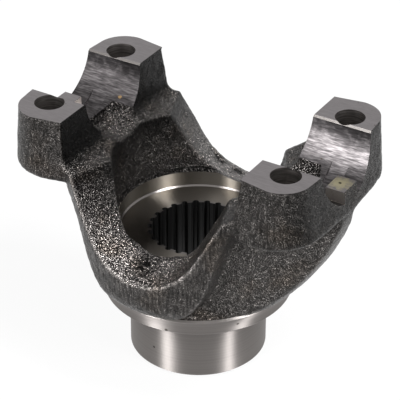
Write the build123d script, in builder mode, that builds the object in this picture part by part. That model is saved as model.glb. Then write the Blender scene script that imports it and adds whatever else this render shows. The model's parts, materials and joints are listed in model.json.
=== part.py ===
from build123d import *
import os
from math import cos, hypot, radians, sin, tan

# Forged end yoke of a drive shaft, one piece: a splined hub, a forged cup above it and
# two arms that each hold one bearing cap of the cross under a U-bolt.
# The shaft axis is Z, the cap axis is X, and the underside of the hub lies on Z = 0.

# Driving dimensions, millimetres
overall_height = 75.0
cap_radius = 13.5
cap_span = 81.8
bolt_spacing_x = 73.2
bolt_spacing_y = 35.4
bolt_hole_radius = 4.15

journal_radius = 19.45
journal_length = 19.4
journal_chamfer = 0.6
land_radius = 26.7
land_straight = 2.0
land_knee_radius = 27.3
land_knee_height = 4.2
land_top_radius = 28.7
land_height = 6.0
land_chamfer = 0.5

spline_teeth = 26
spline_minor_radius = 13.23
spline_major_radius = 14.3
spline_groove_radius = 0.85
spline_groove_sides = 8
spline_lead = 0.8

bowl_depth = 37.7
counterbore_radius = 22.3
counterbore_depth = 4.7
counterbore_corner = 0.4
bowl_step = 1.0
bowl_draft = 1.2

ledge_drop = 14.0
ledge_fillet = 4.0

core_radius = 31.0
core_draft = 6.0
nose_radius = 7.0
nose_centre = 40.6
flare_foot_radius = 29.2
flare_top_radius = 46.9
flare_bulge = 2.4

rim_foot_radius = 28.9
rim_corner_spread = 4.1
rim_corner_height = 6.0
rim_tuck = 1.2
rim_shoulder = 18.2
rim_shoulder_rise = 0.3
rim_neck = 21.6
rim_neck_rise = 0.61
ridge_fillet = 1.5

boss_height = 17.5
boss_inner = 27.7
boss_outer = 44.4
boss_reach = 26.9
boss_waist = 20.9
boss_corner = 8.2
boss_inner_draft = 6.0
boss_end_draft = 6.5
boss_outer_spread = 1.9
boss_outer_bulge = 0.9
boss_foot_corner = 12.5
boss_foot_break = 0.8

throat_start = 5.0
throat_axis_drop = 18.0
throat_radius = 9.8
throat_flare = 0.30
throat_flank = 30.0

saddle_chamfer = 0.5
tab_half_width = 3.5
tab_height = 4.0
relief_radius = 12.0
relief_drop = 0.8
relief_width = 4.9
pocket_radius = 9.0
pocket_drop = 2.3
pocket_end = 36.4
pocket_corner = 3.0

# Heights and places that follow from them
land_foot = journal_length
forging_foot = journal_length + land_height
boss_foot = overall_height - boss_height
ledge_height = overall_height - ledge_drop
throat_axis_height = overall_height - throat_axis_drop
nut_seat_height = overall_height - bowl_depth
cup_height = ledge_height - forging_foot
rim_top = ledge_height + ledge_fillet
rim_corner_radius = rim_foot_radius + rim_corner_spread
rim_top_radius = hypot(boss_inner, boss_reach) - rim_tuck
tab_inner = cap_span / 2
saddle_foot = overall_height - cap_radius
counterbore_top = nut_seat_height + counterbore_depth
groove_centre = spline_major_radius - spline_groove_radius

# How far a cut runs past the face that it opens, a little and right through
run_out = 1.0
beyond = 100.0


# The turned hub: a seal journal with a wider land for the dust shield above it
with BuildPart() as hub:
    with BuildSketch(Plane.XZ) as hub_profile:
        with BuildLine():
            Polyline(
                (0, forging_foot),
                (0, 0),
                (journal_radius - journal_chamfer, 0),
                (journal_radius, journal_chamfer),
                (journal_radius, land_foot),
                (land_radius - land_chamfer, land_foot),
                (land_radius, land_foot + land_chamfer),
                (land_radius, land_foot + land_straight),
                (land_knee_radius, land_foot + land_knee_height),
                (land_top_radius, forging_foot - land_chamfer),
                (land_top_radius - land_chamfer, forging_foot),
                close=True,
            )
        make_face()
    revolve(axis=Axis.Z)


# The forged stem: a cup wall that runs out into a rounded nose under each arm,
# narrower towards the foot and flared like a funnel
def stem_section(height, core, nose):
    """Plan of the stem: the round core joined to both noses by tangent flanks."""
    spread = (core - nose) / nose_centre
    rise = (1 - spread**2) ** 0.5
    core_x, core_y = core * spread, core * rise
    nose_x, nose_y = nose_centre + nose * spread, nose * rise
    tip = nose_centre + nose
    with BuildSketch(Plane.XY.offset(height)) as section:
        with BuildLine():
            ThreePointArc((-core_x, core_y), (0, core), (core_x, core_y))
            Line((core_x, core_y), (nose_x, nose_y))
            ThreePointArc((nose_x, nose_y), (tip, 0), (nose_x, -nose_y))
            Line((nose_x, -nose_y), (core_x, -core_y))
            ThreePointArc((core_x, -core_y), (0, -core), (-core_x, -core_y))
            Line((-core_x, -core_y), (-nose_x, -nose_y))
            ThreePointArc((-nose_x, -nose_y), (-tip, 0), (-nose_x, nose_y))
            Line((-nose_x, nose_y), (-core_x, core_y))
        make_face()
    return section.sketch


with BuildPart() as stem:
    stem_shrink = cup_height * tan(radians(core_draft))
    loft(
        [
            stem_section(forging_foot, core_radius - stem_shrink, nose_radius - stem_shrink),
            stem_section(ledge_height, core_radius, nose_radius),
        ],
        ruled=True,
    )
    with BuildSketch(Plane.XZ) as flare_profile:
        with BuildLine():
            foot = (flare_foot_radius, forging_foot)
            brow = (flare_top_radius, boss_foot)
            SagittaArc(foot, brow, -flare_bulge)
            Polyline(
                brow,
                (nose_centre, ledge_height),
                (0, ledge_height),
                (0, forging_foot),
                foot,
            )
        make_face()
    revolve(axis=Axis.Z, mode=Mode.INTERSECT)


# The forged rim: the thicker front and back of the cup, a crescent seen from the front
with BuildPart() as rim:
    with BuildSketch(Plane.XZ) as rim_profile:
        with BuildLine():
            rim_side = Line(
                (rim_top_radius, rim_top),
                (rim_corner_radius, forging_foot + rim_corner_height),
            )
            rim_corner = TangentArc(
                rim_side @ 1,
                (rim_foot_radius, forging_foot),
                tangent=rim_side % 1,
            )
            Polyline(
                rim_corner @ 1,
                (0, forging_foot),
                (0, rim_top),
                rim_side @ 0,
            )
        make_face()
    revolve(axis=Axis.Z)
    with BuildSketch(Plane.XZ) as rim_outline:
        with BuildLine():
            side = Spline(
                (0, forging_foot - run_out),
                (rim_shoulder, forging_foot + rim_shoulder_rise * cup_height),
                (rim_neck, forging_foot + rim_neck_rise * cup_height),
                (boss_inner, ledge_height),
                (boss_inner + ledge_fillet, rim_top),
                tangents=((1, 0), (1, 1)),
            )
            Line(side @ 1, (0, rim_top))
            Line((0, rim_top), side @ 0)
        make_face()
        mirror(about=Plane.YZ)
    extrude(amount=beyond, both=True, mode=Mode.INTERSECT)
    fillet(rim.edges().filter_by(lambda edge: edge.bounding_box().size.Z > 1), ridge_fillet)


# The arm heads: one drafted block across both arms, widest at its foot, with rounded corners
def head_section(height, waist, reach, outer, corner):
    """Plan of the block: sides that spread towards the arms and slightly bowed outer faces."""
    corner_x = outer - corner
    corner_y = reach - corner
    with BuildSketch(Plane.XY.offset(height)) as section:
        with BuildLine():
            Line((0, -waist), (corner_x, -reach))
            CenterArc((corner_x, -corner_y), corner, -90, 90)
            ThreePointArc((outer, -corner_y), (outer + boss_outer_bulge, 0), (outer, corner_y))
            CenterArc((corner_x, corner_y), corner, 0, 90)
            Line((corner_x, reach), (0, waist))
            Line((0, waist), (0, -waist))
        make_face()
        mirror(about=Plane.YZ)
    return section.sketch


with BuildPart() as heads:
    end_spread = boss_height * tan(radians(boss_end_draft))
    foot_waist = boss_waist + end_spread
    foot_reach = boss_reach + end_spread
    foot_outer = boss_outer + boss_outer_spread
    loft(
        [
            head_section(
                boss_foot,
                foot_waist - boss_foot_break,
                foot_reach - boss_foot_break,
                foot_outer - boss_foot_break,
                boss_foot_corner - boss_foot_break,
            ),
            head_section(
                boss_foot + boss_foot_break, foot_waist, foot_reach, foot_outer, boss_foot_corner
            ),
            head_section(overall_height, boss_waist, boss_reach, boss_outer, boss_corner),
        ],
        ruled=True,
    )


# The gap between the arms: drafted inner faces that run round into a level ledge
with BuildPart() as gap:
    with BuildSketch(Plane.XZ) as gap_profile:
        gap_top = overall_height + run_out
        draft_run = tan(radians(boss_inner_draft))
        with BuildLine():
            Polyline(
                (0, ledge_height),
                (boss_inner - (overall_height - ledge_height) * draft_run, ledge_height),
                (boss_inner + run_out * draft_run, gap_top),
                (0, gap_top),
                close=True,
            )
        make_face()
        fillet(gap_profile.vertices().group_by(Axis.Y)[0].sort_by(Axis.X)[-1], ledge_fillet)
        mirror(about=Plane.YZ)
    extrude(amount=beyond, both=True)


# The throat: the open channel between the arms, a cone that widens to the front and back
def throat_section(distance):
    """Channel at a distance in front of the shaft axis: a round bottom and sloping flanks."""
    radius = throat_radius + throat_flare * distance
    side_x = radius * cos(radians(throat_flank))
    side_z = throat_axis_height - radius * sin(radians(throat_flank))
    top_z = ledge_height + run_out
    top_x = side_x + (top_z - side_z) * tan(radians(throat_flank))
    with BuildSketch(Plane.XZ.offset(distance)) as section:
        with BuildLine():
            ThreePointArc((-side_x, side_z), (0, throat_axis_height - radius), (side_x, side_z))
            Polyline((side_x, side_z), (top_x, top_z), (-top_x, top_z), (-side_x, side_z))
        make_face()
    return section.sketch


with BuildPart() as throat:
    loft([throat_section(throat_start), throat_section(rim_top_radius + throat_start)], ruled=True)
    mirror(about=Plane.XZ)


# The fork: gap and throat together
with BuildPart() as fork:
    add(gap.part)
    add(throat.part)


# The forged blank: hub, stem, rim and heads, opened by the fork
with BuildPart() as blank:
    add(hub.part)
    add(stem.part)
    add(rim.part)
    add(heads.part)
    add(fork.part, mode=Mode.SUBTRACT)


# The whole yoke: the blank with its bowl and troughs, then the machined seats
with BuildPart() as yoke:
    add(blank.part)

    # Forged bowl with the machined nut seat at its foot
    with BuildSketch(Plane.XZ) as bowl_profile:
        bowl_foot = counterbore_radius + bowl_step
        bowl_foot_height = counterbore_top + bowl_step
        bowl_rise = overall_height - bowl_foot_height
        with BuildLine():
            Polyline(
                (0, nut_seat_height),
                (counterbore_radius, nut_seat_height),
                (counterbore_radius, counterbore_top),
                (bowl_foot, bowl_foot_height),
                (bowl_foot + bowl_rise * tan(radians(bowl_draft)), overall_height),
                (0, overall_height),
                close=True,
            )
        make_face()
        seat_corner = bowl_profile.vertices().group_by(Axis.Y)[0].sort_by(Axis.X)[-1]
        chamfer(seat_corner, counterbore_corner)
    revolve(axis=Axis.Z, mode=Mode.SUBTRACT)

    # Forged trough under each cap seat, left rough where the cutter does not reach it
    with BuildSketch(Plane.XZ) as trough_profile:
        trough_axis = saddle_foot - pocket_drop + pocket_radius
        with Locations((pocket_end / 2, trough_axis - pocket_radius / 2)):
            Rectangle(pocket_end, pocket_radius)
        trough_corner = trough_profile.vertices().group_by(Axis.Y)[0].sort_by(Axis.X)[-1]
        chamfer(trough_corner, pocket_corner)
        mirror(about=Plane.YZ)
    revolve(axis=Axis((0, 0, trough_axis), (1, 0, 0)), mode=Mode.SUBTRACT)

    # Cap seats: a round saddle along X with broken top edges
    with BuildSketch(Plane.YZ.offset(-tab_inner)) as saddle_section:
        with Locations((0, overall_height)):
            Circle(cap_radius)
            Trapezoid(
                2 * (cap_radius + saddle_chamfer),
                saddle_chamfer,
                135,
                align=(Align.CENTER, Align.MAX),
            )
    extrude(amount=2 * tab_inner, mode=Mode.SUBTRACT)

    # Outer end of each seat, where a locating tab is left standing at the foot of the round
    for side in (1, -1):
        with BuildSketch(Plane.YZ.offset(side * tab_inner)) as tab_section:
            with Locations((0, overall_height)):
                Circle(cap_radius)
                Trapezoid(
                    2 * (cap_radius + saddle_chamfer),
                    saddle_chamfer,
                    135,
                    align=(Align.CENTER, Align.MAX),
                )
            with Locations((0, saddle_foot)):
                Rectangle(2 * tab_half_width, 2 * tab_height, mode=Mode.SUBTRACT)
        extrude(amount=side * beyond, mode=Mode.SUBTRACT)

    # Relief groove at the inner side of each tab, so that the cap's end seats square
    for side in (1, -1):
        with BuildSketch(Plane.YZ.offset(side * tab_inner)) as relief_section:
            with Locations((0, saddle_foot - relief_drop + relief_radius)):
                Circle(relief_radius)
        extrude(amount=-side * relief_width, mode=Mode.SUBTRACT)

    # U-bolt holes through the bosses
    with Locations(Plane.XY.offset(overall_height)):
        with GridLocations(bolt_spacing_x, bolt_spacing_y, 2, 2):
            Hole(bolt_hole_radius, depth=boss_height + beyond / 2)

    # Splined bore for the pinion shaft
    with BuildSketch(Plane.XY) as spline_plan:
        Circle(spline_minor_radius)
        with PolarLocations(groove_centre, spline_teeth):
            RegularPolygon(
                spline_groove_radius,
                spline_groove_sides,
                major_radius=False,
                rotation=180 / spline_groove_sides,
            )
    extrude(amount=nut_seat_height + run_out, mode=Mode.SUBTRACT)

    # Lead-in cones at both ends of the splines
    with BuildSketch(Plane.XZ) as lead_profile:
        lead_mouth = spline_minor_radius + spline_lead
        with BuildLine():
            Polyline(
                (0, 0),
                (lead_mouth, 0),
                (spline_minor_radius, spline_lead),
                (0, spline_lead),
                close=True,
            )
        make_face()
        mirror(about=Plane.XY.offset(nut_seat_height / 2))
    revolve(axis=Axis.Z, mode=Mode.SUBTRACT)


os.makedirs("parts", exist_ok=True)
yoke.part.label = "yoke"
export_step(yoke.part, "parts/yoke.step")
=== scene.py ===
import json
from math import cos, hypot, radians, sin

import bmesh
import bpy
from mathutils import Matrix, Vector


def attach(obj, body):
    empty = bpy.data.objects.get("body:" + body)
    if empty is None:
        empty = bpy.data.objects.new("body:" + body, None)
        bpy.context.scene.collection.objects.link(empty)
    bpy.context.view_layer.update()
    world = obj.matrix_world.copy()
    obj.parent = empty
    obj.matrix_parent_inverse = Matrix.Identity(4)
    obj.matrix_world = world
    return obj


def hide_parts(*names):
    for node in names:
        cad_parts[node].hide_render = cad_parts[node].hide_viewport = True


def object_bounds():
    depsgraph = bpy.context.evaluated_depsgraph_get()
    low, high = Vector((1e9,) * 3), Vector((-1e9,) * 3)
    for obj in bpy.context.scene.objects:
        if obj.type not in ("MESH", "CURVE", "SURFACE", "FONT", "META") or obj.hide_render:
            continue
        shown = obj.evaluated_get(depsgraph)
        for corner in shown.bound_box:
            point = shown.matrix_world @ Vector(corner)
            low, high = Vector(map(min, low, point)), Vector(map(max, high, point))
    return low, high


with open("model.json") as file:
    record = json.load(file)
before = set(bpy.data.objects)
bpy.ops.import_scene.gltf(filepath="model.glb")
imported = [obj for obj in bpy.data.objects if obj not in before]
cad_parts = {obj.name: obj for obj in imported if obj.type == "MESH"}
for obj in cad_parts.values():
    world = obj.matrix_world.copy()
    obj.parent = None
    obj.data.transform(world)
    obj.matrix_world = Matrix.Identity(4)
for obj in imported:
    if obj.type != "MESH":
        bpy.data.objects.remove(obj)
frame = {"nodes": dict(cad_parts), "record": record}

cad_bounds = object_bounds()


# The forged body: one steel drop forging, the hub, cup and arms in a single piece. It is
# a merged copy of the CAD solid, cut into small triangles where the skin is as forged, so
# that its edges can be rounded and its blasted grain raised in the mesh itself.
MM = 0.001
near = 0.06 * MM
skim = 0.03 * MM
mounts = {mount["name"]: mount for mount in frame["record"]["mounts"]}
bolts = mounts["u_bolts"]["dims"]
overall_height = cad_bounds[1][2]
bore_radius = mounts["spline_bore"]["dims"]["r_mm"] * MM
spline_reach = bore_radius + 1.6 * MM
nut_seat_height = mounts["nut_seat"]["pos_m"][2]
bolt_x = bolts["spacing_x_mm"] * MM / 2
bolt_y = bolts["spacing_y_mm"] * MM / 2
bolt_hole_radius = bolts["hole_r_mm"] * MM
land_top = 25.4 * MM
counterbore_radius = 22.3 * MM
counterbore_top = 42.0 * MM
saddle_radius = 13.5 * MM
saddle_start = 26.0 * MM
chamfer_depth = 0.52 * MM
chamfer_reach = chamfer_depth + skim
relief_start = 36.0 * MM
relief_half_width = 9.6 * MM
relief_foot = 60.0 * MM
tab_start = 40.9 * MM
tab_half_width = 3.5 * MM
tab_foot = 61.0 * MM
tab_top = 65.5 * MM
slopes = 0.3
faces_out = 0.5
lies_flat = 0.9

FORGED, MILLED, TURNED, BROACHED, DRILLED = range(5)


def finish_of(centre, normal):
    """Which tool made the face at this place, from the seats' own sizes."""
    x, y, z = abs(centre.x), abs(centre.y), centre.z
    from_axis = hypot(x, y)
    from_cap = hypot(y, z - overall_height)
    if from_axis < spline_reach and z < nut_seat_height - near:
        return TURNED if abs(normal.z) > slopes else BROACHED
    if z < land_top - near:
        return TURNED
    if from_axis < counterbore_radius + near and z < counterbore_top + near:
        return TURNED
    if abs(hypot(x - bolt_x, y - bolt_y) - bolt_hole_radius) < near:
        return DRILLED
    if z > overall_height - chamfer_reach:
        if normal.z > lies_flat or y < saddle_radius + chamfer_reach:
            return MILLED
    if x > saddle_start and abs(from_cap - saddle_radius) < near:
        return MILLED
    if relief_start - near < x < tab_start + near and from_cap > saddle_radius - near:
        if y < relief_half_width and relief_foot < z < tab_top + near:
            return MILLED
    if x > tab_start - near and y < tab_half_width + near and tab_foot < z < tab_top + near:
        outward = normal.x if centre.x > 0 else -normal.x
        if outward < faces_out:
            return MILLED
    return FORGED


weld_gap = 0.002 * MM
bpy.ops.object.select_all(action="DESELECT")
body = bpy.data.objects.new("forged_body", frame["nodes"]["yoke"].data.copy())
bpy.context.scene.collection.objects.link(body)
body.data.materials.clear()
body.select_set(True)
bpy.context.view_layer.objects.active = body
bpy.ops.object.mode_set(mode="EDIT")
bpy.ops.mesh.select_all(action="SELECT")
bpy.ops.mesh.remove_doubles(threshold=weld_gap)
bpy.ops.mesh.customdata_custom_splitnormals_clear()
bpy.ops.object.mode_set(mode="OBJECT")
for face in body.data.polygons:
    face.material_index = finish_of(face.center, face.normal)


def split_long_edges(longest):
    """Halves every edge of the forged skin longer than this, then evens the triangles."""
    mesh = bmesh.from_edit_mesh(body.data)
    bpy.ops.mesh.select_all(action="DESELECT")
    bpy.context.tool_settings.mesh_select_mode = (False, True, False)
    found = False
    for edge in mesh.edges:
        on_skin = any(face.material_index == FORGED for face in edge.link_faces)
        edge.select = on_skin and edge.calc_length() > longest
        found = found or edge.select
    mesh.select_flush_mode()
    if found:
        bpy.ops.mesh.subdivide(number_cuts=1, ngon=False)
        bpy.ops.mesh.select_all(action="SELECT")
        bpy.ops.mesh.quads_convert_to_tris()
        bpy.ops.mesh.beautify_fill(angle_limit=radians(3))


bpy.ops.object.mode_set(mode="EDIT")
for longest in (8.0, 4.0, 2.2, 1.4, 1.0, 0.85):
    split_long_edges(longest * MM)
bpy.ops.object.mode_set(mode="OBJECT")

machined = set()
for face in body.data.polygons:
    if face.material_index != FORGED:
        machined.update(face.vertices)
skin = body.vertex_groups.new(name="skin")
skin.add([v.index for v in body.data.vertices if v.index not in machined], 1.0, "REPLACE")

rounding = body.modifiers.new("rounding", "SMOOTH")
rounding.factor = 0.5
rounding.iterations = 14
rounding.vertex_group = "skin"
bpy.ops.object.modifier_apply(modifier="rounding")

# How sharply the skin turns at each point, per metre, decides how far it is painted bright:
# rubbed wear on the edges, and a painted highlight where the rounded edges catch the light
bluntest, sharpest = 220.0, 620.0
turn_at = [0.0] * len(body.data.vertices)
edges_at = [0] * len(body.data.vertices)
for edge in body.data.edges:
    start, end = (body.data.vertices[i] for i in edge.vertices)
    run = end.co - start.co
    turn = (end.normal - start.normal).dot(run) / max(run.length_squared, near * near)
    for vertex in (start, end):
        turn_at[vertex.index] += turn
        edges_at[vertex.index] += 1
wear_and_highlight = body.data.attributes.new("edge_wear_and_highlight", "FLOAT", "POINT")
for vertex in body.data.vertices:
    bend = 0.0 if vertex.index in machined else turn_at[vertex.index] / edges_at[vertex.index]
    share = (bend - bluntest) / (sharpest - bluntest)
    wear_and_highlight.data[vertex.index].value = min(1.0, max(0.0, share))


def raise_lumps(name, size, depth, height, middle, where):
    """Raises and sinks a vertex group by cloudy lumps of this size, in millimetres."""
    lumps = bpy.data.textures.new(name, "CLOUDS")
    lumps.noise_scale = size * MM
    lumps.noise_depth = depth
    lift = body.modifiers.new(name, "DISPLACE")
    lift.texture = lumps
    lift.texture_coords = "LOCAL"
    lift.strength = height * MM
    lift.mid_level = middle
    lift.vertex_group = where
    bpy.ops.object.modifier_apply(modifier=name)


raise_lumps("swells", size=4.0, depth=1, height=0.25, middle=0.5, where="skin")
raise_lumps("grain", size=1.5, depth=1, height=0.22, middle=0.5, where="skin")

scar_spots = (
    ((-0.8, -26.6, 39.2), 4.6),
    ((-10.5, 28.8, 42.0), 2.4),
    ((-4.5, 29.6, 38.8), 2.4),
)
scar_steepness = 2.5
scars = body.vertex_groups.new(name="scars")
for centre, reach in scar_spots:
    for vertex in body.data.vertices:
        inside = 1 - (vertex.co - Vector(centre) * MM).length / (reach * MM)
        if inside > 0 and vertex.index not in machined:
            scars.add([vertex.index], min(1.0, scar_steepness * inside), "REPLACE")
raise_lumps("scars", size=1.5, depth=2, height=1.8, middle=0.62, where="scars")

bpy.ops.object.shade_smooth_by_angle(angle=radians(38))
finishes_at = {}
for face in body.data.polygons:
    for key in face.edge_keys:
        finishes_at.setdefault(key, set()).add(face.material_index)
for edge in body.data.edges:
    if len(finishes_at[edge.key]) > 1:
        edge.use_edge_sharp = True
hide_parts("yoke")
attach(body, "root")


# The forged skin: dark steel, blasted clean of scale. Upright faces keep a calm grain, and
# faces that look up carry painted glints, a brighter speckle in their colour. Sharp edges are
# painted bright, as wear and as a painted highlight. Painted shade darkens the arms, faces
# that look in towards the shaft and the step in the bowl. The trimming die leaves upright
# scratches on the outsides of the rim and bosses.
trim_start, trim_end, trim_share = 24.0 * MM, 29.0 * MM, 0.4
glint_paint_start, glint_paint_full = land_top + 1.5 * MM, land_top + 4.0 * MM
arm_foot, arm_top = 48.0 * MM, 60.0 * MM
bowl_step_top = counterbore_top + 1.3 * MM
bowl_step_radius = counterbore_radius + 1.5 * MM
stain_softness = 0.15
brown_tint = (1.0, 0.93, 0.86)
black = (0.0, 0.0, 0.0)


def steel(grey):
    """A grey a little warmer than neutral, as clean steel is."""
    return (grey, 0.93 * grey, 0.89 * grey)


def new_material(name):
    """A node material: its node tree, Principled shader and object coordinates."""
    material = bpy.data.materials.new(name)
    material.use_nodes = True
    tree = material.node_tree
    place = tree.nodes.new("ShaderNodeTexCoord").outputs["Object"]
    return material, tree, tree.nodes["Principled BSDF"], place


def feed(tree, value, socket):
    """Links an output to a socket, or sets a plain number, place or colour on it."""
    if isinstance(value, bpy.types.NodeSocket):
        tree.links.new(value, socket)
    elif socket.type == "RGBA":
        socket.default_value = (*value, 1.0)
    else:
        socket.default_value = value


def ramp(tree, source, stops):
    """A colour ramp on a value: stops are (place, grey or colour)."""
    node = tree.nodes.new("ShaderNodeValToRGB")
    elements = node.color_ramp.elements
    while len(elements) < len(stops):
        elements.new(1.0)
    for element, (position, colour) in zip(elements, stops):
        element.position = position
        rgb = colour if isinstance(colour, tuple) else (colour, colour, colour)
        element.color = (*rgb, 1.0)
    feed(tree, source, node.inputs["Fac"])
    return node.outputs["Color"]


def reckon(tree, operation, *values):
    """One sum on numbers."""
    node = tree.nodes.new("ShaderNodeMath")
    node.operation = operation
    for value, socket in zip(values, node.inputs):
        feed(tree, value, socket)
    return node.outputs["Value"]


def reckon_vector(tree, operation, *values):
    """One sum on places or directions, which gives a number or another vector."""
    node = tree.nodes.new("ShaderNodeVectorMath")
    node.operation = operation
    for value, socket in zip(values, node.inputs):
        feed(tree, value, socket)
    gives_number = operation in ("DISTANCE", "LENGTH", "DOT_PRODUCT")
    return node.outputs["Value" if gives_number else "Vector"]


def axes(tree, vector):
    """The X, Y and Z of a place or direction."""
    node = tree.nodes.new("ShaderNodeSeparateXYZ")
    feed(tree, vector, node.inputs["Vector"])
    return node.outputs["X"], node.outputs["Y"], node.outputs["Z"]


def fade(tree, source, low, high, full=1.0):
    """Goes from nothing where the source is at low to this full value where it is at high."""
    node = tree.nodes.new("ShaderNodeMapRange")
    inputs = {"Value": source, "From Min": low, "From Max": high, "To Max": full}
    for label, value in inputs.items():
        feed(tree, value, node.inputs[label])
    return node.outputs["Result"]


def noise(tree, place, scale, detail):
    """Cloudy noise at this scale, with this many finer layers."""
    node = tree.nodes.new("ShaderNodeTexNoise")
    for label, value in {"Vector": place, "Scale": scale, "Detail": detail}.items():
        feed(tree, value, node.inputs[label])
    return node.outputs["Fac"]


def blend_colour(tree, mask, under, over, how="MIX"):
    """Lays one colour over another by a mask."""
    node = tree.nodes.new("ShaderNodeMix")
    node.data_type = "RGBA"
    node.blend_type = how
    for value, socket in ((mask, 0), (under, 6), (over, 7)):
        feed(tree, value, node.inputs[socket])
    return node.outputs[2]


def dent(tree, shader, height, strength, depth):
    """Bump from a height in the range 0 to 1, this deep in millimetres."""
    node = tree.nodes.new("ShaderNodeBump")
    node.inputs["Strength"].default_value = strength
    node.inputs["Distance"].default_value = depth * MM
    feed(tree, height, node.inputs["Height"])
    feed(tree, node.outputs["Normal"], shader.inputs["Normal"])


def new_group(name, vectors, values, output):
    """A shader node group with these vector and number inputs, and one number out."""
    group = bpy.data.node_groups.new(name, "ShaderNodeTree")
    for label in vectors:
        group.interface.new_socket(label, in_out="INPUT", socket_type="NodeSocketVector")
    for label in values:
        group.interface.new_socket(label, in_out="INPUT", socket_type="NodeSocketFloat")
    group.interface.new_socket(output, in_out="OUTPUT", socket_type="NodeSocketFloat")
    start = group.nodes.new("NodeGroupInput").outputs
    end = group.nodes.new("NodeGroupOutput").inputs[output]
    return group, start, end


def use_group(tree, group, place, **values):
    """Places a group in a material with its own values and returns what it puts out."""
    node = tree.nodes.new("ShaderNodeGroup")
    node.node_tree = group
    feed(tree, place, node.inputs["Place"])
    for label, value in values.items():
        feed(tree, value, node.inputs[label])
    return node.outputs[0]


tool_lines, start, end = new_group("tool_lines", ("Place", "Fineness"), (), "Line")
stretch = tool_lines.nodes.new("ShaderNodeMapping")
feed(tool_lines, start["Place"], stretch.inputs["Vector"])
feed(tool_lines, start["Fineness"], stretch.inputs["Scale"])
feed(tool_lines, noise(tool_lines, stretch.outputs["Vector"], 1.0, 3.0), end)

stains, start, end = new_group("stains", ("Place",), ("Scale", "Edge"), "Mask")
cloud = noise(stains, start["Place"], start["Scale"], 4.0)
stain_core = reckon(stains, "ADD", start["Edge"], stain_softness)
feed(stains, fade(stains, cloud, start["Edge"], stain_core), end)

material, tree, shader, place = new_material("forged_skin")
_, y, z = axes(tree, place)
fine = noise(tree, place, 3000.0, 2.0)
coarse = noise(tree, place, 800.0, 2.0)
grain = reckon(tree, "MULTIPLY_ADD", coarse, 0.3, reckon(tree, "MULTIPLY", fine, 0.7))
trimmed = fade(tree, reckon(tree, "ABSOLUTE", y), trim_start, trim_end, trim_share)
scratches = use_group(tree, tool_lines, place, Fineness=(1800.0, 1800.0, 120.0))
scratched = tree.nodes.new("ShaderNodeMix")
for label, value in {"Factor": trimmed, "A": grain, "B": scratches}.items():
    feed(tree, value, scratched.inputs[label])
height = scratched.outputs["Result"]

calm_stops = [(0.4, steel(0.012)), (0.5, steel(0.046)), (0.58, steel(0.095)), (0.68, steel(0.26))]
# Painted glints: faces that look up, above the land, get a brighter speckled colour where overhead
# lamps would catch the grain.
painted_glint_stops = [(0.41, steel(0.003)), (0.5, steel(0.03)), (0.57, steel(0.14)), (0.65, steel(0.55))]
facing = tree.nodes.new("ShaderNodeNewGeometry").outputs["Normal"]
facing_x, _, facing_z = axes(tree, facing)
painted_glints = reckon(
    tree, "MULTIPLY", fade(tree, facing_z, 0.25, 0.6), fade(tree, z, glint_paint_start, glint_paint_full)
)
skin_colour = blend_colour(
    tree, painted_glints, ramp(tree, height, calm_stops), ramp(tree, fine, painted_glint_stops)
)

# Sharp edges are painted bright: wear rubbed into the edges, and a painted highlight along them.
worn_and_lit = tree.nodes.new("ShaderNodeAttribute")
worn_and_lit.attribute_name = "edge_wear_and_highlight"
worn_and_lit_grain = ramp(tree, height, [(0.42, 0.1), (0.58, 0.9)])
worn_and_lit_bright = reckon(tree, "MULTIPLY", worn_and_lit.outputs["Fac"], worn_and_lit_grain)
skin_colour = blend_colour(tree, worn_and_lit_bright, skin_colour, steel(0.26))

strokes = use_group(tree, stains, place, Scale=480.0, Edge=0.4)
for centre, reach in scar_spots:
    from_scar = reckon_vector(tree, "DISTANCE", place, Vector(centre) * MM)
    scarred = fade(tree, from_scar, reach * MM, 0.5 * reach * MM)
    scarred = reckon(tree, "MULTIPLY", scarred, strokes)
    skin_colour = blend_colour(tree, scarred, skin_colour, steel(0.006))

brown = use_group(tree, stains, place, Scale=90.0, Edge=0.52)
skin_colour = blend_colour(tree, brown, skin_colour, brown_tint, "MULTIPLY")

# Painted shade: the skin is laid towards black on the arms, on faces that look in towards the
# shaft, on the arms' sideways faces and on the step in the bowl, where shade falls.
from_shaft = reckon_vector(tree, "MULTIPLY", place, (1.0, 1.0, 0.0))
outward = reckon_vector(tree, "NORMALIZE", from_shaft)
inward = fade(tree, reckon_vector(tree, "DOT_PRODUCT", outward, facing), 0.2, -0.4)
on_arm = fade(tree, z, arm_foot, arm_top)
arm_dark = reckon(tree, "MULTIPLY", on_arm, 0.38)
inner_dark = reckon(tree, "MULTIPLY_ADD", on_arm, 0.14, 0.22)
painted_shade = reckon(tree, "MULTIPLY_ADD", inward, inner_dark, arm_dark)
sideways = fade(tree, reckon(tree, "ABSOLUTE", facing_x), 0.5, 0.9)
outer_side = reckon(tree, "SUBTRACT", 1.0, inward)
side_dark = reckon(tree, "MULTIPLY_ADD", outer_side, 0.16, 0.2)
side_dark = reckon(tree, "MULTIPLY", side_dark, sideways)
painted_shade = reckon(tree, "MULTIPLY_ADD", side_dark, on_arm, painted_shade)
under_step = reckon(tree, "LESS_THAN", z, bowl_step_top)
in_step = reckon(tree, "LESS_THAN", reckon_vector(tree, "LENGTH", from_shaft), bowl_step_radius)
on_step = reckon(tree, "MULTIPLY", under_step, in_step)
painted_shade = reckon(tree, "MULTIPLY_ADD", on_step, 0.55, painted_shade)
skin_colour = blend_colour(tree, painted_shade, skin_colour, black)

feed(tree, skin_colour, shader.inputs["Base Color"])
feed(tree, ramp(tree, height, [(0.4, 0.4), (0.6, 0.24)]), shader.inputs["Roughness"])
shader.inputs["Metallic"].default_value = 1.0
dent(tree, shader, height, 1.0, 0.8)
body.data.materials.append(material)


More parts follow.
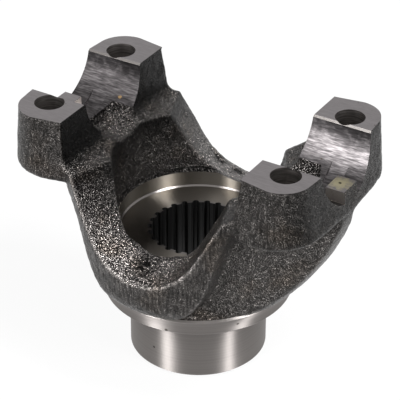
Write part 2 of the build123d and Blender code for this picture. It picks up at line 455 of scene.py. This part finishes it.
# The milled faces: boss tops, cap saddles, reliefs and tabs in bare steel, cut by a face
# mill and a form cutter that leave fine lines along the cap axis. Oil stains the saddles
# near their tops, and one tab has a dab of paint around a punch mark.
stain_foot, stain_full = overall_height - 7.0 * MM, overall_height - 3.0 * MM
clean_side_foot, clean_side_top = tab_top - 4.2 * MM, tab_top - 2.8 * MM
saddle_dark = (0.024, 0.0223, 0.0228)
saddle_middle = (0.055, 0.051, 0.052)
saddle_bright = (0.11, 0.102, 0.104)
top_dark = (0.15, 0.139, 0.141)
top_bright = (0.21, 0.195, 0.198)
oil_dark = (0.014, 0.013, 0.0135)
tab_side_bright = (0.66, 0.615, 0.56)
paint = (0.37, 0.335, 0.22)
punch_dark = (0.02, 0.014, 0.008)
chip_brown = (0.2, 0.135, 0.07)
pit_brown = (0.03, 0.025, 0.02)
punch_place = Vector((43.1, 0.3, 65.5)) * MM
chip_place = Vector((-31.7, 9.3, 65.3)) * MM


def brush(tree, shader, axis, strength):
    """Stretches highlights as on brushed steel, with the tangent running round this axis."""
    node = tree.nodes.new("ShaderNodeTangent")
    node.direction_type = "RADIAL"
    node.axis = axis
    feed(tree, node.outputs["Tangent"], shader.inputs["Tangent"])
    shader.inputs["Anisotropic"].default_value = strength


spot, start, end = new_group("spot", ("Place", "Centre"), ("Radius", "Fade"), "Mask")
from_centre = reckon_vector(spot, "DISTANCE", start["Place"], start["Centre"])
ragged = noise(spot, start["Place"], 900.0, 3.0)
rim = reckon(spot, "MULTIPLY", ragged, reckon(spot, "MULTIPLY", start["Radius"], 2.0))
core = reckon(spot, "MULTIPLY", rim, reckon(spot, "SUBTRACT", 1.0, start["Fade"]))
feed(spot, fade(spot, from_centre, rim, core), end)

material, tree, shader, place = new_material("milled_steel")
x, y, z = axes(tree, place)
lines = use_group(tree, tool_lines, place, Fineness=(420.0, 3200.0, 3200.0))
bands = use_group(tree, tool_lines, place, Fineness=(120.0, 1300.0, 1300.0))
cut = reckon(tree, "MULTIPLY_ADD", bands, 0.4, reckon(tree, "MULTIPLY", lines, 0.6))
saddle_colour = ramp(tree, cut, [(0.36, saddle_dark), (0.5, saddle_middle), (0.64, saddle_bright)])
top_colour = ramp(tree, cut, [(0.3, top_dark), (0.7, top_bright)])
oil = use_group(tree, stains, place, Scale=500.0, Edge=0.36)
oily = reckon(tree, "MULTIPLY", fade(tree, z, stain_foot, stain_full, 0.7), oil)
saddle_colour = blend_colour(tree, oily, saddle_colour, oil_dark)

on_chamfer = reckon(tree, "GREATER_THAN", z, overall_height - chamfer_depth)
on_top = reckon(tree, "GREATER_THAN", z, overall_height - skim)
cut_colour = blend_colour(tree, on_chamfer, saddle_colour, steel(0.14))
cut_colour = blend_colour(tree, on_top, cut_colour, top_colour)

out_to_tab = reckon(tree, "GREATER_THAN", reckon(tree, "ABSOLUTE", x), tab_start - near)
in_tab = reckon(tree, "LESS_THAN", reckon(tree, "ABSOLUTE", y), tab_half_width + near)
on_tab = reckon(tree, "MULTIPLY", out_to_tab, in_tab)
cut_colour = blend_colour(tree, on_tab, cut_colour, top_colour)
tab_side = reckon(tree, "MULTIPLY", on_tab, reckon(tree, "LESS_THAN", z, tab_top - near))
clean_side = fade(tree, z, clean_side_foot, clean_side_top)
side_colour = ramp(tree, clean_side, [(0.0, steel(0.36)), (1.0, tab_side_bright)])
cut_colour = blend_colour(tree, tab_side, cut_colour, side_colour)

for centre, radius, softness, colour in (
    (punch_place, 3.9, 0.6, paint),
    (punch_place, 0.5, 0.3, punch_dark),
    (chip_place, 0.55, 0.3, chip_brown),
):
    marked = use_group(tree, spot, place, Centre=centre, Radius=radius * MM, Fade=softness)
    cut_colour = blend_colour(tree, marked, cut_colour, colour)

cells = tree.nodes.new("ShaderNodeTexVoronoi")
cells.inputs["Scale"].default_value = 520.0
feed(tree, place, cells.inputs["Vector"])
chance = tree.nodes.new("ShaderNodeSeparateColor")
feed(tree, cells.outputs["Color"], chance.inputs["Color"])
has_pit = reckon(tree, "LESS_THAN", chance.outputs["Red"], 0.12)
pit_reach = reckon(tree, "MULTIPLY", chance.outputs["Green"], 0.16)
in_pit = reckon(tree, "LESS_THAN", cells.outputs["Distance"], pit_reach)
pitted = reckon(tree, "MULTIPLY", has_pit, in_pit)
cut_colour = blend_colour(tree, pitted, cut_colour, pit_brown)

feed(tree, cut_colour, shader.inputs["Base Color"])
shader.inputs["Metallic"].default_value = 1.0
shader.inputs["Roughness"].default_value = 0.34
brush(tree, shader, "X", 0.6)
dent(tree, shader, cut, 0.25, 0.05)
body.data.materials.append(material)


# The turned faces: seal journal, land, underside, counterbore and nut seat, in bare steel
# turned in a lathe. Their fine rings run round the shaft axis and stretch each light into
# an upright streak. Three small pits are left in the land and journal.
bowl_start = nut_seat_height - 1.0 * MM
lead_in_reach = bore_radius + 0.85 * MM
wall_foot = nut_seat_height + 0.2 * MM
corner_height, corner_width = 0.25 * MM, 0.45 * MM
lip_depth = 0.55 * MM
lip_start = 27.5 * MM
nut_seat_shade_colour = (0.11, 0.1, 0.088)
wall_brown = (0.26, 0.24, 0.212)
pit_dark = (0.05, 0.045, 0.04)
pit_radius = 0.4 * MM
pit_places = ((21.9, -15.4, 21.8), (5.5, -26.1, 20.2), (-2.9, -19.2, 6.9))
hub_roughness, bowl_roughness = 0.45, 0.28

material, tree, shader, place = new_material("turned_steel")
_, _, z = axes(tree, place)
from_axis = reckon_vector(tree, "LENGTH", reckon_vector(tree, "MULTIPLY", place, (1.0, 1.0, 0.0)))
profile = tree.nodes.new("ShaderNodeCombineXYZ")
feed(tree, from_axis, profile.inputs["X"])
feed(tree, z, profile.inputs["Z"])
rings = use_group(tree, tool_lines, profile.outputs["Vector"], Fineness=(2600.0, 1.0, 2600.0))
ring_colour = ramp(tree, rings, [(0.35, steel(0.19)), (0.65, steel(0.215))])

# The nut seat and lead-in inside the bowl get a darker colour: painted shade of the recess.
in_bowl = reckon(tree, "GREATER_THAN", z, bowl_start)
ring_colour = blend_colour(tree, in_bowl, ring_colour, nut_seat_shade_colour)
lead_in = reckon(tree, "MULTIPLY", reckon(tree, "LESS_THAN", from_axis, lead_in_reach), in_bowl)
ring_colour = blend_colour(tree, lead_in, ring_colour, steel(0.1))
on_wall = reckon(tree, "GREATER_THAN", z, wall_foot)
ring_colour = blend_colour(tree, on_wall, ring_colour, wall_brown)

# The top lip of the land is painted brighter: wear, and a painted highlight where its edge catches
# the light.
lip = reckon(tree, "GREATER_THAN", z, land_top - lip_depth)
lip = reckon(tree, "MULTIPLY", lip, reckon(tree, "GREATER_THAN", from_axis, lip_start))
lip = reckon(tree, "MULTIPLY", lip, reckon(tree, "LESS_THAN", z, land_top + near))
ring_colour = blend_colour(tree, lip, ring_colour, steel(0.32))
# A thin ring at the foot of the counterbore wall is painted brighter than the seat: a painted
# highlight on the corner.
corner = reckon(tree, "COMPARE", z, wall_foot, corner_height)
by_wall = reckon(tree, "GREATER_THAN", from_axis, counterbore_radius - corner_width)
ring_colour = blend_colour(tree, reckon(tree, "MULTIPLY", corner, by_wall), ring_colour, steel(0.2))

for centre in pit_places:
    pitted = use_group(tree, spot, place, Centre=Vector(centre) * MM, Radius=pit_radius, Fade=0.3)
    ring_colour = blend_colour(tree, pitted, ring_colour, pit_dark)

roughness = reckon(tree, "MULTIPLY_ADD", in_bowl, bowl_roughness - hub_roughness, hub_roughness)
feed(tree, ring_colour, shader.inputs["Base Color"])
feed(tree, roughness, shader.inputs["Roughness"])
shader.inputs["Metallic"].default_value = 1.0
brush(tree, shader, "Z", 1.0)
shader.inputs["Anisotropic Rotation"].default_value = 0.25
body.data.materials.append(material)


# The splined bore: grooves cut in the steel by a broach that is pulled down the bore. It
# leaves fine upright lines, in a dark steel colour.
material, tree, shader, place = new_material("broached_steel")
pulled = use_group(tree, tool_lines, place, Fineness=(1500.0, 1500.0, 20.0))
feed(tree, ramp(tree, pulled, [(0.4, 0.04), (0.7, 0.13)]), shader.inputs["Base Color"])
shader.inputs["Metallic"].default_value = 1.0
shader.inputs["Roughness"].default_value = 0.4
body.data.materials.append(material)


# The U-bolt holes: four plain holes drilled through the steel of the bosses, each for one
# leg of a U-bolt. The drill leaves rings in the wall, darker than the milled tops.
material, tree, shader, place = new_material("drilled_steel")
spun = use_group(tree, tool_lines, place, Fineness=(150.0, 150.0, 2200.0))
spun_colour = ramp(tree, spun, [(0.35, steel(0.16)), (0.65, steel(0.34))])
feed(tree, spun_colour, shader.inputs["Base Color"])
shader.inputs["Metallic"].default_value = 1.0
shader.inputs["Roughness"].default_value = 0.35
body.data.materials.append(material)


# The studio: a pale floor, a white surround, a tall strip box on either side of the camera
# and a small box high on the right. The camera stands at the photograph's place.
white = (1.0, 1.0, 1.0)
floor_grey = (0.6, 0.6, 0.6)
floor_size = 12.0
floor_gap = 0.05 * MM
room_light = 0.35


def white_where_seen(tree, lit, plain, share):
    """Shows white to the camera and in reflections, and leaves the lit surface to other rays."""
    seen = tree.nodes.new("ShaderNodeLightPath").outputs
    direct = reckon(tree, "MAXIMUM", seen["Is Camera Ray"], seen["Is Glossy Ray"])
    direct = reckon(tree, "MAXIMUM", direct, seen["Is Transmission Ray"])
    mix = tree.nodes.new("ShaderNodeMixShader")
    feed(tree, reckon(tree, "MULTIPLY", direct, share), mix.inputs["Fac"])
    feed(tree, lit, mix.inputs[1])
    feed(tree, plain, mix.inputs[2])
    return mix.outputs["Shader"]


bpy.ops.mesh.primitive_plane_add(size=floor_size, location=(0, 0, -floor_gap))
floor = bpy.context.object
floor.name = "floor"
material, tree, shader, place = new_material("pale_floor")
feed(tree, floor_grey, shader.inputs["Base Color"])
shader.inputs["Roughness"].default_value = 0.9
glow = tree.nodes.new("ShaderNodeEmission").outputs["Emission"]
floor_look = white_where_seen(tree, shader.outputs["BSDF"], glow, 0.9)
feed(tree, floor_look, tree.nodes["Material Output"].inputs["Surface"])
floor.data.materials.append(material)

world = bpy.data.worlds.new("studio")
bpy.context.scene.world = world
world.use_nodes = True
tree = world.node_tree
room = tree.nodes["Background"]
feed(tree, white, room.inputs["Color"])
room.inputs["Strength"].default_value = room_light
surround = tree.nodes.new("ShaderNodeBackground")
feed(tree, white, surround.inputs["Color"])
room_look = white_where_seen(tree, room.outputs["Background"], surround.outputs["Background"], 1.0)
feed(tree, room_look, tree.nodes["World Output"].inputs["Surface"])

aim = Vector((0.245, 0.308, 46.22)) * MM
camera_azimuth = radians(31.10)
camera_elevation = radians(32.06)
camera_roll = radians(0.175)
camera_distance = 545.2 * MM
focal_pixels = 1968.85
picture_pixels = 400
box_distance = 1.1


def direction(azimuth, elevation):
    """From the yoke towards a place at this azimuth and elevation."""
    return Vector((
        sin(azimuth) * cos(elevation),
        -cos(azimuth) * cos(elevation),
        sin(elevation),
    ))


back = direction(camera_azimuth, camera_elevation)
level = Vector((cos(camera_azimuth), sin(camera_azimuth), 0.0))
upright = back.cross(level)
right = level * cos(camera_roll) + upright * sin(camera_roll)
up = upright * cos(camera_roll) - level * sin(camera_roll)
turned_to_aim = Matrix((right, up, back)).transposed().to_4x4()
bpy.ops.object.camera_add()
camera = bpy.context.object
camera.data.sensor_width = 36.0
camera.data.lens = focal_pixels / picture_pixels * camera.data.sensor_width
camera.matrix_world = Matrix.Translation(aim + back * camera_distance) @ turned_to_aim
bpy.context.scene.camera = camera


def light_box(name, turn, rise, width, height, power):
    """A lamp at a turn from the camera's side and an angle above the floor, facing the yoke."""
    towards = direction(camera_azimuth + radians(turn), radians(rise))
    bpy.ops.object.light_add(type="AREA", location=aim + towards * box_distance)
    lamp = bpy.context.object
    lamp.name = name
    lamp.data.shape = "RECTANGLE"
    lamp.data.size = width
    lamp.data.size_y = height
    lamp.data.energy = power
    lamp.rotation_euler = towards.to_track_quat("Z", "Y").to_euler()


light_box("left_box", turn=-50, rise=26, width=0.28, height=1.0, power=19.0)
light_box("right_box", turn=50, rise=26, width=0.22, height=1.0, power=14.5)
light_box("right_top_box", turn=72, rise=60, width=0.3, height=0.3, power=14.0)
bpy.context.scene.view_settings.view_transform = "Standard"
